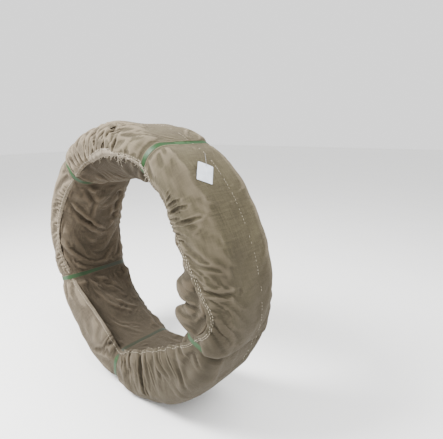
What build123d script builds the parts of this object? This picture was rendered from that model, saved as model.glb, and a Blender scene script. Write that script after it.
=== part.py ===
from build123d import *
from math import asin, cos, degrees, pi, radians, sin
import os

# Coil of cold heading wire, wrapped in hessian and strapped, standing on its rim
# The coil's axis runs along Y and its front face looks towards -Y. An angle on the coil is counted
# from +X towards +Z, as seen from the front.

# Coil in its wrap, in millimetres
wrap_outer_radius = 600.0
bore_radius = 419.0
wrap_width = 346.0
corner_radius = 72.0
largest_corner_share = 0.42
corner_flat_count = 3

# Steel wire: layers of turns from the bore to the rim, whose ridges show on both ends
layer_count = 4
ridge_depth = 6.0
shoulder_flat_count = 1

# Hessian cover over the rim and both ends, and hessian lining in the bore
cloth_thickness = 4.5
cloth_clearance = 0.4
hem_inset = 31.0
hem_gap = 0.4

# Straps through the bore, each in a channel where it draws the cloth in
strap_width = 19.0
strap_thickness = 0.9
strap_clearance = 0.3
strap_side_clearance = 1.5
strap_draw_in = 8.0
pillow_length = 52.0
pillow_step_count = 2
strap_angles = {
    "strap_upper_right": 62.0,
    "strap_upper_left": 127.0,
    "strap_left": 199.0,
    "strap_bottom": 262.0,
    "strap_lower_right": 342.0,
}

# Label that hangs by a thin wire tie: its lower edge rests on the rim and its top stands off it
label_width = 62.0
label_height = 70.0
label_thickness = 0.6
label_corner_radius = 3.0
label_clearance = 0.3
label_edge_angle = 41.8
label_edge_from_front = 106.0
label_lean = -30.0
label_tilt = 15.0
eyelet_radius = 2.5
eyelet_inset = 7.0
tie_radius = 0.8
tie_angle = 54.0
tie_from_front = 205.0
tie_rise = 6.5
tie_bend_radius = 3.0
tie_side_count = 6

section_thickness = wrap_outer_radius - bore_radius
rounding = min(corner_radius, largest_corner_share * section_thickness)
section_middle = bore_radius + section_thickness / 2
hem_radius = bore_radius + hem_inset
wire_inset = strap_draw_in + cloth_thickness + cloth_clearance
coil_axis = Axis((0, 0, 0), (0, -1, 0))


def plane_at(angle):
    """Plane through the coil's axis: its x runs outwards at the angle, and its y along the axis."""
    turn = radians(angle)
    return Plane(origin=(0, 0, 0), x_dir=(cos(turn), 0, sin(turn)), z_dir=(-sin(turn), 0, cos(turn)))


def outline(inset, flat_count=corner_flat_count):
    """Upper half of the coil's rounded section, from the bore to the rim, drawn in by an inset.

    The cloth lies in flats from turn to turn of the wire, so each corner is a few straight steps."""
    reach = rounding - inset
    flat = section_thickness / 2 - rounding
    shoulder = wrap_width / 2 - rounding
    steps = [i * pi / 2 / flat_count for i in range(flat_count + 1)]
    rim = [(flat + reach * sin(step), shoulder + reach * cos(step)) for step in steps]
    bore = [(-r, y) for r, y in reversed(rim)]
    return [(section_middle + r, y) for r, y in bore + rim]


def closed(half):
    """Face with the points of its upper half, in order from the bore to the rim, and their mirror image."""
    return make_face(Polyline(*half, *[(r, -y) for r, y in reversed(half)], close=True))


def section_on(angle, inset):
    return plane_at(angle) * closed(outline(inset))


def turned(face, arc=360):
    """Turns a face on a plane through the coil's axis round that axis."""
    return revolve(face, axis=coil_axis, revolution_arc=arc)


def steel_outline(clearance=0.0):
    """Form that the layers of wire build up to, whose shoulders slant from the walls to the ends."""
    return outline(wire_inset - clearance, shoulder_flat_count)


def end_height(radius):
    """Height of the steel's end above its middle, at a radius."""
    points = steel_outline()
    for (low, low_y), (high, high_y) in zip(points, points[1:]):
        if low <= radius <= high:
            return low_y + (high_y - low_y) * (radius - low) / (high - low)


def wire_profile():
    """Section of the steel: a ridge for each layer of turns, and a groove between each two."""
    points = steel_outline()
    bore_wall, rim_wall = points[0], points[-1]
    pitch = (rim_wall[0] - bore_wall[0]) / layer_count
    radii = [bore_wall[0] + (i + 0.5) * pitch for i in range(layer_count)]
    crests = [(radius, end_height(radius)) for radius in radii]
    half = [bore_wall, crests[0]]
    for before, after in zip(crests, crests[1:]):
        half.append(((before[0] + after[0]) / 2, (before[1] + after[1]) / 2 - ridge_depth))
        half.append(after)
    return closed([*half, rim_wall])


def wrapped_ring():
    """Whole form of the wrapped coil: pillows between the straps, channels under them."""
    channel_half = strap_width / 2 + strap_side_clearance
    bed_half = degrees(asin(channel_half / (bore_radius + strap_draw_in)))
    pillow_turn = degrees(pillow_length / section_middle)
    shares = [i / pillow_step_count for i in range(pillow_step_count + 1)]
    insets = [strap_draw_in * (1 - share) ** 2 for share in shares]
    angles = sorted(strap_angles.values())
    pieces = []
    for angle, following in zip(angles, angles[1:] + [angles[0] + 360]):
        pieces.append(turned(section_on(angle - bed_half, strap_draw_in), 2 * bed_half))
        for side in (-1, 1):
            places = [angle + side * (bed_half + share * pillow_turn) for share in shares]
            sections = [section_on(place, inset) for place, inset in zip(places, insets)]
            for low, high in zip(sections, sections[1:]):
                pieces.append(loft([low, high], ruled=True))
        edge = bed_half + pillow_turn
        pieces.append(turned(section_on(angle + edge, 0.0), following - angle - 2 * edge))
    return pieces[0].fuse(*pieces[1:])


def disc(radius):
    """Round block about the coil's axis, wider than the coil."""
    return extrude(Plane.XZ * Circle(radius), amount=wrap_width, both=True)


def strap_loop(angle):
    """Flat strap round the section, drawn tight in its channel."""
    inside = strap_draw_in - strap_clearance
    band = closed(outline(inside - strap_thickness)) - closed(outline(inside))
    return extrude(plane_at(angle) * band, amount=strap_width / 2, both=True)


def on_rim(angle, from_front, lift, lean=0.0):
    """Place on the rim: its x runs down along the rim, its y towards the back, turned by a lean."""
    turn = radians(angle)
    out = Vector(cos(turn), 0, sin(turn))
    place = out * (wrap_outer_radius + lift) + Vector(0, from_front - wrap_width / 2, 0)
    return Location(Plane(origin=place, x_dir=(sin(turn), 0, -cos(turn)), z_dir=out)) * Rot(0, 0, lean)


def label_seat(lift):
    """Place of the label's middle, turned about its lower edge, or a point at a lift above it."""
    edge = on_rim(label_edge_angle, label_edge_from_front, label_clearance, label_lean)
    return edge * Rot(0, label_tilt, 0) * Pos(-label_height / 2, 0, lift)


def label_plate():
    card = RectangleRounded(label_height, label_width, label_corner_radius)
    card -= Pos(eyelet_inset - label_height / 2, 0) * Circle(eyelet_radius)
    return label_seat(0.0) * extrude(card, amount=label_thickness)


def label_tie():
    """Thin wire that rises through the label's eyelet and bends over to a stitch in the rim."""
    eyelet = Pos(eyelet_inset - label_height / 2, 0, 0)
    foot = (label_seat(0.0) * eyelet).position
    knee = (label_seat(tie_rise) * eyelet).position
    bend = on_rim(tie_angle, tie_from_front, tie_rise).position
    stitch = on_rim(tie_angle, tie_from_front, label_clearance).position
    path = FilletPolyline(foot, knee, bend, stitch, radius=tie_bend_radius)
    return sweep(Plane(origin=foot, z_dir=path % 0) * RegularPolygon(tie_radius, tie_side_count), path=path)


wrapped = wrapped_ring()
wire = turned(plane_at(0) * wire_profile())
cloth = wrapped - turned(plane_at(0) * closed(steel_outline(cloth_clearance)))
pieces = {
    "wire_coil": wire,
    "outer_cover": cloth - disc(hem_radius + hem_gap / 2),
    "bore_lining": cloth & disc(hem_radius - hem_gap / 2),
    "label": label_plate(),
    "label_tie": label_tie(),
}
for name, angle in strap_angles.items():
    pieces[name] = strap_loop(angle)

# The coil stands on its rim
axis_height = -pieces["outer_cover"].bounding_box().min.Z
os.makedirs("parts", exist_ok=True)
for name, piece in pieces.items():
    export_step(Pos(0, 0, axis_height) * piece, f"parts/{name}.step")
print(f"axis height {axis_height:.2f} mm, steel {wire.volume / 1e9:.4f} cubic metres")
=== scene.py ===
# %% [markdown]
# # A wrapped coil of wire, dressed for the camera
# The CAD model is a coil of cold heading wire that stands on its rim in a hessian wrap. Its solids carry
# the sizes. This lesson gives each of them the form and the finish that the eye sees: gathered cloth,
# sewn hems, a padded bore, plastic straps and a bare label. Everything is in metres, with +Z up, the coil's
# axis along Y and its front end towards -Y.

# %% Load the frame
import math
import bpy
import bmesh
import numpy as np
from mathutils import Matrix, Vector
from mathutils.bvhtree import BVHTree


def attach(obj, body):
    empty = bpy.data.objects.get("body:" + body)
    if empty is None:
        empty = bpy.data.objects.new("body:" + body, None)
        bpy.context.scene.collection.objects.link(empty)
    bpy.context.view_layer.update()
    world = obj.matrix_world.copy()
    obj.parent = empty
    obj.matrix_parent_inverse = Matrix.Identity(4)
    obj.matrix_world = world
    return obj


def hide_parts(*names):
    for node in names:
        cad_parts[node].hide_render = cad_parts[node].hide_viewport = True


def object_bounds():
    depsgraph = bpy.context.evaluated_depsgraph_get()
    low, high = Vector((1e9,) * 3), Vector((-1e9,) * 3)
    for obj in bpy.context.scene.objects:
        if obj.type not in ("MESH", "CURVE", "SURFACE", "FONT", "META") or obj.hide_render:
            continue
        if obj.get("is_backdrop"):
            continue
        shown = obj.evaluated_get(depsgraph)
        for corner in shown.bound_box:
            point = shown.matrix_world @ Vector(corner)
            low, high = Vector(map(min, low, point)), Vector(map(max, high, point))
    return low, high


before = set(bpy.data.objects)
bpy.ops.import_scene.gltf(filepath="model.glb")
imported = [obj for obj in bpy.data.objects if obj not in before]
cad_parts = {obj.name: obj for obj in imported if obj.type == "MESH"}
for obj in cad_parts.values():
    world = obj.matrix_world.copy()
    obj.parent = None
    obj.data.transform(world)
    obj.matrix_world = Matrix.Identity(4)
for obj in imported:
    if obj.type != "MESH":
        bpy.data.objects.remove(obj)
cad_low, cad_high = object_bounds()


def deselect_all():
    """Clears the selection, since an operator acts on all of it and the CAD nodes load selected."""
    bpy.ops.object.select_all(action="DESELECT")


print("CAD box", [round(x, 4) for x in cad_high - cad_low])

# %% [markdown]
# ## The coil's measurements
# Every piece lies on one ring with a rounded section, so the ring is described once. An angle is counted
# from +X towards +Z, as seen from the front, and a station is the way along the section in metres, from
# the middle of the bore's wall round the front end to the rim and back round the rear end.

# %% Measurements
OUTER, BORE, WIDTH, CORNER = 0.600, 0.419, 0.346, 0.072
MIDDLE, FLAT, SHOULDER = (OUTER + BORE) / 2, (OUTER - BORE) / 2 - CORNER, WIDTH / 2 - CORNER
AXIS = (cad_low.z + cad_high.z) / 2
STRAPS = {
    "strap_upper_right": 62.0,
    "strap_upper_left": 127.0,
    "strap_left": 199.0,
    "strap_bottom": 262.0,
    "strap_lower_right": 342.0,
}
SUNK_ANGLE, SUNK_HALF_TURN, SUNK_STATION, SUNK_REACH, SUNK_DEPTH = 59, 19, 0.157, 0.078, 0.026
strap_angles = np.array(list(STRAPS.values()))


def section_line(steps=24):
    """Points (radius, y) of the rounded section, from the middle of the bore round the front end."""
    turns = np.linspace(0, math.pi / 2, steps + 1)
    bore = [(BORE + CORNER - CORNER * math.cos(t), -SHOULDER - CORNER * math.sin(t)) for t in turns]
    rim = [(OUTER - CORNER + CORNER * math.sin(t), -SHOULDER - CORNER * math.cos(t)) for t in turns]
    half = [(BORE, 0.0), *bore, *rim]
    return np.array(half + [(r, -y) for r, y in reversed(half)])


SECTION = section_line()
STATIONS = np.r_[0, np.cumsum(np.hypot(*np.diff(SECTION, axis=0).T))]
ROUND = STATIONS[-1]


def off_core(r, y):
    """Way out to a point from the flat core of the section, round which its corners turn."""
    return np.stack([r - np.clip(r, MIDDLE - FLAT, MIDDLE + FLAT), y - np.clip(y, -SHOULDER, SHOULDER)], -1)


def section_at(station):
    """Radius and y of a station, and the direction that points out of the section there."""
    s = np.mod(station, ROUND)
    r, y = np.interp(s, STATIONS, SECTION[:, 0]), np.interp(s, STATIONS, SECTION[:, 1])
    out = off_core(r, y)
    return r, y, out / np.linalg.norm(out, axis=-1)[..., None]


def on_ring(angle, radius, y):
    """Points at an angle in degrees, a radius and a place along the axis."""
    a = np.radians(angle)
    return np.stack([radius * np.cos(a), y + 0 * a, AXIS + radius * np.sin(a)], -1)


def angle_of(points):
    """Angle of points on the ring, from 0 to 360 degrees."""
    return np.degrees(np.arctan2(points[..., 2] - AXIS, points[..., 0])) % 360


def above_section(points):
    """Height of points above the coil's plain section, below zero where they lie in it."""
    out = off_core(np.hypot(points[..., 0], points[..., 2] - AXIS), points[..., 1])
    return np.hypot(out[..., 0], out[..., 1]) - CORNER


def ease(x):
    """0 below 0, 1 above 1, and a soft rise between them."""
    x = np.clip(x, 0, 1)
    return x * x * (3 - 2 * x)


def short_turn(angle, start):
    """Degrees from a start to each angle, by the short way round."""
    return (np.asarray(angle) - start + 180) % 360 - 180


def slump(angle, station):
    """How far the bore's front corner has sunk at the upper right, where the turns inside have shifted."""
    across = np.clip(np.abs(np.mod(station, ROUND) - SUNK_STATION) / SUNK_REACH, 0, 1)
    around = np.exp(-(short_turn(angle, SUNK_ANGLE) / SUNK_HALF_TURN) ** 4)
    return SUNK_DEPTH * around * np.cos(across * math.pi / 2) ** 2


def off_strap(angle):
    """Degrees from each angle to the nearest strap."""
    return np.abs(short_turn(np.asarray(angle)[..., None], strap_angles)).min(-1)


print("way round the section", round(ROUND, 4), "m, axis at", round(AXIS, 4), "m")

# %% [markdown]
# ## Camera
# The camera stands a little above the axis and to the right, and looks at the coil from about 1.7 m away
# with a wide lens, which is why the bore's far edge looks so much smaller than the near one. Its turn is
# written as a matrix, because three angles in the wrong order are the usual mistake.

# %% Camera
LENS_PIXELS, PICTURE_WIDTH, SENSOR = 372.848, 443, 36.0
yaw, pitch, roll = 0.731, 0.240, -0.014
ahead = Vector((-math.sin(yaw) * math.cos(pitch), math.cos(yaw) * math.cos(pitch), -math.sin(pitch)))
level = Vector((math.cos(yaw), math.sin(yaw), 0))
upward = level.cross(ahead)
right = math.cos(roll) * level + math.sin(roll) * upward
top = math.cos(roll) * upward - math.sin(roll) * level
deselect_all()
bpy.ops.object.camera_add()
camera = bpy.context.object
camera.name = "camera"
camera.data.sensor_width = SENSOR
camera.data.lens = LENS_PIXELS / PICTURE_WIDTH * SENSOR
eye = Vector((1.324559, -0.790622 - WIDTH / 2, 1.174093 - OUTER + AXIS))
rows = [(*row, place) for row, place in zip(zip(right, top, -ahead), eye)]
camera.matrix_world = Matrix([*rows, (0, 0, 0, 1)])
bpy.context.scene.camera = camera
print("lens", round(camera.data.lens, 2), "mm")

# %% [markdown]
# ## Helpers for cloth
# A sheet is a grid of points. Its columns run round the ring and close on themselves, and its rows run
# across. A UV map in metres of flat cloth goes with it, so that the weave follows every fold. Waves with
# seeded phases stand for the accidents of handwork: they look random and are the same each run.

# %% Helpers for cloth
def follow(table, angle, column):
    """Value of a table's column at an angle, eased between its rows and closed round the ring."""
    rows = sorted((a % 360, *values) for a, *values in table)
    known = np.array([row[0] for row in rows])
    values = np.array([row[column] for row in rows], float)
    fine = np.arange(0, 360, 0.5)
    line = np.interp(fine, np.r_[known[-1] - 360, known, known[0] + 360], np.r_[values[-1], values, values[0]])
    weights = np.hanning(13) / np.hanning(13).sum()
    line = np.convolve(np.r_[line[-6:], line, line[:6]], weights, "valid")
    return np.interp(np.mod(angle, 360), np.r_[fine, 360], np.r_[line, line[0]])


def ripple(angle, across, seed, slowest, quickest, count=9, slant=8.0):
    """Sum of a few waves round the ring that drift across it, from about -1 to 1."""
    chance = np.random.default_rng(seed)
    total = 0
    for waves in chance.integers(slowest, quickest + 1, count):
        phase, drift = chance.uniform(0, 2 * math.pi), chance.uniform(-slant, slant)
        total = total + np.sin(np.radians(angle) * waves + drift * across + phase)
    return total / math.sqrt(count)


# radius at which the angles of a crease's path are turned into metres
CREASE_RADIUS = 0.55


def crease(angle, station, path, depth, half_width, bank=0.22):
    """Height of a crease along a path of (angle, station) points: a dip with a soft bank on each side."""
    across = np.radians(angle) * CREASE_RADIUS
    nearest = np.full(np.shape(angle), 9.0)
    along = np.zeros(np.shape(angle))
    length = len(path) - 1
    for i, ((a0, s0), (a1, s1)) in enumerate(zip(path, path[1:])):
        p = np.array([math.radians(a0) * CREASE_RADIUS, s0])
        q = np.array([math.radians(a1) * CREASE_RADIUS, s1])
        run = q - p
        t = np.clip(((across - p[0]) * run[0] + (station - p[1]) * run[1]) / (run @ run), 0, 1)
        away = np.hypot(across - p[0] - t * run[0], station - p[1] - t * run[1])
        closer = away < nearest
        nearest, along = np.where(closer, away, nearest), np.where(closer, (i + t) / length, along)
    fade = np.sin(math.pi * np.clip(along, 0.08, 0.92)) ** 0.5
    banks = np.exp(-((nearest - 1.9 * half_width) / half_width) ** 2)
    return -depth * fade * (np.exp(-(nearest / half_width) ** 2) - bank * banks)


def crease_from(path, angle, station, depth, half_width, bank=0.22):
    """Height of a crease whose path may pass 360 degrees: angles are counted the short way from its start."""
    start = path[0][0]
    return crease(short_turn(angle, start) + start, station, path, depth, half_width, bank)


def softened(values, count, axis=0, ends="edge"):
    """Soft running mean along one axis of a grid. With ends="wrap" the axis closes round the ring."""
    window = np.hanning(count + 2)[1:-1]
    margin = [(0, 0)] * values.ndim
    margin[axis] = (count // 2,) * 2
    return np.apply_along_axis(np.convolve, axis, np.pad(values, margin, ends), window / window.sum(), "valid")


print("waves and creases ready")

# %% [markdown]
# ## Helpers for grids
# A sheet becomes a mesh only when its points are final. Until then it is an array of columns, rows and
# coordinates, because numpy moves a hundred thousand points at once, and an operator would take them one
# selection at a time.

# %% Helpers for grids
def new_mesh(name, points, faces):
    """New object with a mesh of these points and faces."""
    mesh = bpy.data.meshes.new(name)
    mesh.from_pydata(points.reshape(-1, 3).tolist(), [], faces)
    made = bpy.data.objects.new(name, mesh)
    bpy.context.collection.objects.link(made)
    return made


def grid_faces(near, far):
    """Four-sided faces between the rows of each column of point numbers and the column after it."""
    return np.stack([near[:, :-1], near[:, 1:], far[:, 1:], far[:, :-1]], -1).reshape(-1, 4).tolist()


def sheet_mesh(name, points, flat):
    """Object whose mesh is a grid closed round the ring, with its flat cloth as a UV map in metres."""
    index = np.arange(points[..., 0].size).reshape(points.shape[:2])
    sheet = new_mesh(name, points, grid_faces(index, np.roll(index, -1, 0)))
    begin, end = flat[:-1], flat[1:]
    corners = np.stack([begin[:, :-1], begin[:, 1:], end[:, 1:], end[:, :-1]], 2)
    uv = sheet.data.uv_layers.new(name="flat cloth")
    uv.data.foreach_set("uv", corners.reshape(-1).astype(np.float32))
    sheet.data.shade_smooth()
    return sheet


def grid_of(mesh, shape):
    """The points of a mesh, as the grid it was made from."""
    points = np.empty(len(mesh.vertices) * 3, np.float32)
    mesh.vertices.foreach_get("co", points)
    return points.reshape(*shape, 3).astype(float)


def outward_normals(points):
    """Unit normals of a grid closed round the ring, on the side away from the middle of its section."""
    along_ring, across = np.roll(points, -1, 0) - np.roll(points, 1, 0), np.gradient(points, axis=1)
    normals = np.cross(across, along_ring)
    normals = normals / (np.linalg.norm(normals, axis=-1)[..., None] + 1e-12)
    from_axis = np.hypot(points[..., 0], points[..., 2] - AXIS)[..., None]
    spoke = np.stack([points[..., 0], 0 * points[..., 1], points[..., 2] - AXIS], -1) / from_axis
    middle = spoke * (OUTER + BORE) / 2 + [0, 0, AXIS]
    return normals * np.sign(np.median((normals * (points - middle)).sum(-1)))


def way_across(points):
    """Way along each column of a grid from its first row, in metres."""
    steps = np.linalg.norm(np.diff(points, axis=1), axis=-1)
    return np.concatenate([np.zeros((len(points), 1)), np.cumsum(steps, 1)], 1)


def at_reach(grid, ways, reach):
    """What a grid holds at a way from its first row, which may differ from column to column."""
    reaches = np.broadcast_to(reach, len(grid))
    return np.array([[np.interp(r, way, column[:, k]) for k in range(3)]
                     for r, way, column in zip(reaches, ways, grid)])


def finer(points):
    """The grid with a row added between each two, on a smooth curve through four."""
    p = np.concatenate([2 * points[:, :1] - points[:, 1:2], points, 2 * points[:, -1:] - points[:, -2:-1]], 1)
    middle = (9 * (p[:, 1:-2] + p[:, 2:-1]) - p[:, :-3] - p[:, 3:]) / 16
    out = np.empty((points.shape[0], 2 * points.shape[1] - 1, points.shape[2]))
    out[:, ::2], out[:, 1::2] = points, middle
    return out


def mark_hollows(sheet, points, passes=5, deepest=0.0016):
    """Writes how deep each point lies in a fold, from -1 on a crest to 1 in a valley, for the finish's painted
    shade in valleys and painted highlights on crests.
    """
    around = points
    for _ in range(passes):
        around = (np.roll(around, 1, 0) + 2 * around + np.roll(around, -1, 0)) / 4
        edge = np.concatenate([around[:, :1], around, around[:, -1:]], 1)
        around = (edge[:, :-2] + 2 * around + edge[:, 2:]) / 4
    deep = np.clip(((around - points) * outward_normals(points)).sum(-1) / deepest, -1, 1)
    hollow = sheet.data.attributes.new("hollow", "FLOAT", "POINT")
    hollow.data.foreach_set("value", deep.ravel().astype(np.float32))


print("grid helpers ready")

# %% [markdown]
# ## The form under the cloth
# Cloth folds well only over something. The wire inside has a lumpy surface, and each strap pulls the cloth
# hard against it, so the form is a ring that lies a centimetre inside the wrap and wanders a little
# between the straps. A torus won't do, because the section is nearly square with round corners, so it is
# laid out from the section line. It is taken away again after the simulation.

# %% Form
FORM_INSET, CLOTH_DISTANCE = 0.0108, 0.0015


def wire_form(columns=200, rows=72):
    """Ring for the cloth to collide with, closed both round the axis and round its section."""
    angle = np.linspace(0, 360, columns, endpoint=False)[:, None]
    station = np.linspace(0, ROUND, rows, endpoint=False)[None]
    r, y, out = section_at(station)
    lump = 0.0022 * ripple(angle, station * 3, 4, 5, 16)
    inset = FORM_INSET - lump * ease(off_strap(angle) / 12) + slump(angle, station)
    points = on_ring(angle + 0 * station, r - out[..., 0] * inset, y - out[..., 1] * inset)
    index = np.arange(columns * rows).reshape(columns, rows)
    index = np.hstack([index, index[:, :1]])
    form = new_mesh("wire form", points, grid_faces(index, np.roll(index, -1, 0)))
    shell = bmesh.new()
    shell.from_mesh(form.data)
    bmesh.ops.recalc_face_normals(shell, faces=shell.faces)
    shell.to_mesh(form.data)
    shell.free()
    form.modifiers.new("Collision", "COLLISION")
    form.collision.thickness_outer = CLOTH_DISTANCE
    form.collision.thickness_inner = 0.03
    form.collision.cloth_friction = 5
    return form


form = wire_form()
print("form", len(form.data.polygons), "faces")

# %% [markdown]
# ## Settling a sheet
# The real cover is a straight tube of hessian, pulled over the coil and drawn in at its hems. Blender's
# cloth can do the same if its rest shape is that tube: a shape key holds the tube's lengths, while the
# basis holds the cloth as it was laid and pleated. The hems and the lines under the straps are
# pinned, and a few frames let the folds between them find their own way.

# %% Settle
def settle(sheet, shape, tube, pinned, frames, weight=0.15, bend=0.05):
    """Runs Blender's cloth on a laid sheet and returns the points of its last frame as a grid."""
    sheet.shape_key_add(name="laid")
    rest = sheet.shape_key_add(name="tube")
    rest.data.foreach_set("co", tube.reshape(-1).astype(np.float32))
    group = sheet.vertex_groups.new(name="held")
    group.add(np.flatnonzero(pinned.ravel()).tolist(), 1.0, "REPLACE")
    cloth = sheet.modifiers.new("Cloth", "CLOTH")
    settings = cloth.settings
    settings.quality, settings.mass = 5, 0.3
    settings.tension_stiffness = settings.compression_stiffness = 40
    settings.shear_stiffness, settings.bending_stiffness = 6, bend
    settings.tension_damping = settings.compression_damping = settings.shear_damping = 8
    settings.bending_damping, settings.air_damping = 1, 3
    settings.vertex_group_mass, settings.rest_shape_key = "held", rest
    settings.effector_weights.gravity = weight
    cloth.collision_settings.distance_min = CLOTH_DISTANCE
    cloth.collision_settings.use_self_collision = False
    for frame_number in range(1, frames + 1):
        bpy.context.scene.frame_set(frame_number)
    settled = sheet.evaluated_get(bpy.context.evaluated_depsgraph_get())
    points = grid_of(settled.to_mesh(), shape)
    sheet.modifiers.remove(cloth)
    bpy.context.scene.frame_set(1)
    return points


print("cloth runs")

# %% [markdown]
# ## Where the cover's hem runs
# The hem isn't a circle. At the lower left it hangs in straight chords across the bore, at the upper left
# it is drawn tight into pleats, and at the right it stands back on the front end, so that the lining shows.
# The table gives its radius and its way behind the front, in millimetres. The crowd says how much more
# cloth is pushed together in one place than in another.

# %% Hem line
FRONT_HEM = [
    (62, 506, 1), (68, 504, 1), (75, 494, 1), (82, 484, 2), (90, 474, 4), (98, 461, 9), (110, 458, 14),
    (125, 450, 22), (143, 456, 17), (158, 466, 10), (170, 478, 5), (183, 470, 8), (193, 452, 20), (199, 446, 25),
    (205, 430, 30), (216, 392, 32), (228, 368, 32), (240, 362, 32), (251, 372, 32), (262, 428, 40),
    (270, 395, 34), (281, 372, 32), (300, 360, 30), (322, 395, 30), (333, 436, 24), (339, 462, 8), (345, 493, 1),
    (351, 541, 2), (354.5, 549, 4), (359, 544, 2), (1.5, 529, 1), (5, 512, 1), (8.5, 496, 1), (16, 474, 4),
    (21, 459, 12), (31, 454, 18), (38, 452, 18), (48, 458, 14), (55, 484, 4),
]
CROWD = [
    (62, 0.7), (84, 0.8), (92, 1.8), (120, 2.0), (127, 1.4), (140, 1.2), (185, 1.3), (199, 1.3), (206, 0.9),
    (230, 0.6), (250, 0.8), (260, 2.0), (264, 2.0), (280, 1.5), (300, 1.3), (320, 1.4), (335, 1.6), (343, 1.0),
    (352, 0.7), (2, 0.8), (14, 1.2), (40, 1.4), (52, 0.8),
]
SLACK = {62.0: 1.07, 127.0: 1.05, 199.0: 1.02, 262.0: 1.07, 342.0: 1.03}
print("hem from", min(row[1] for row in FRONT_HEM), "to", max(row[1] for row in FRONT_HEM), "mm from the axis")

# %% [markdown]
# ## Laying the cover
# Each bay between two straps has its own length of cloth, a little more than the rim needs. At the rim it
# lies evenly, and at the hems it is pushed together as the crowd says, so every column of the grid gets one
# angle at the rim and another at each hem.

# %% Lay the cover
COVER_COLUMNS, COVER_ROWS = 1100, 44
BACK_HEM_RADIUS, BACK_HEM_DEPTH = 0.455, 0.015
bay_ends = np.r_[strap_angles, strap_angles[0] + 360]
bay_cloth = [math.radians(b - a) * OUTER * SLACK[a] for a, b in zip(bay_ends, bay_ends[1:])]
cloth_ends = np.r_[0, np.cumsum(bay_cloth)]
COVER_LENGTH = cloth_ends[-1]


def spread(along, crowd):
    """Angles at which evenly spaced cloth meets a hem, where it is crowded as given."""
    angles = np.empty(len(along))
    for i, (a, b) in enumerate(zip(bay_ends, bay_ends[1:])):
        places = np.linspace(a, b, 500)
        weight = crowd(places)
        filled = np.r_[0, np.cumsum((weight[1:] + weight[:-1]) / 2)]
        here = (along >= cloth_ends[i]) & (along < cloth_ends[i + 1])
        share = (along[here] - cloth_ends[i]) / (cloth_ends[i + 1] - cloth_ends[i])
        angles[here] = np.interp(share, filled / filled[-1], places)
    return angles


def back_crowd(angles):
    """How the cloth is crowded at the back hem: in even clumps, and most beside each strap."""
    return 1 + 0.5 * np.sin(np.radians(7 * angles + 20)) ** 2 + 0.5 * np.exp(-(off_strap(angles) / 6) ** 2)


def front_hem(angles):
    """Radius and y of the front hem."""
    return follow(FRONT_HEM, angles, 1) / 1000, follow(FRONT_HEM, angles, 2) / 1000 - WIDTH / 2


def nearest_station(r, y):
    """Station of the front half of the section that lies nearest to each point."""
    tries = np.linspace(0, ROUND / 2, 1500)
    line_r, line_y, _ = section_at(tries)
    return tries[((line_r - r[:, None]) ** 2 + (line_y - y[:, None]) ** 2).argmin(1)]


along = np.arange(COVER_COLUMNS) * COVER_LENGTH / COVER_COLUMNS
at_rim = np.interp(along, cloth_ends, bay_ends)
at_front = spread(along, lambda angles: follow(CROWD, angles, 1))
at_back = spread(along, back_crowd)
hem_r, hem_y = front_hem(at_front)
across = np.linspace(0, 1, COVER_ROWS + 1)[None]
to_front, to_back = ease(1 - across / 0.42), ease(1 - (1 - across) / 0.35)
cover_angle = at_rim[:, None] * (1 - to_front - to_back)
cover_angle = cover_angle + at_front[:, None] * to_front + at_back[:, None] * to_back
back_r = BACK_HEM_RADIUS + 0.010 * ripple(at_back, 0, 12, 3, 9) / 1.5
first = nearest_station(hem_r, hem_y)[:, None]
last = ROUND - nearest_station(back_r, np.full(COVER_COLUMNS, BACK_HEM_DEPTH - WIDTH / 2))[:, None]
cover_station = first + (last - first) * across
radius, depth, _ = section_at(cover_station)
slack = ease(1 - across / 0.16)
radius = radius + (hem_r[:, None] - radius[:, :1]) * slack
depth = depth + (hem_y[:, None] - depth[:, :1]) * slack
cover_base = on_ring(cover_angle, radius, depth)
run = way_across(cover_base)
print("cover", round(COVER_LENGTH, 3), "m long and", round(run[:, -1].mean(), 3), "m wide when flat")

# %% [markdown]
# ## Pleats and creases
# A drawn hem makes pleats with sharp valleys and round crests, some long and some short. Each stretch of
# the hem has its own number of them, as deep and as long as it looks there. The creases with a story of
# their own, such as the deep one under the knot at the bottom, are laid one by one along the paths they
# take.

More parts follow.
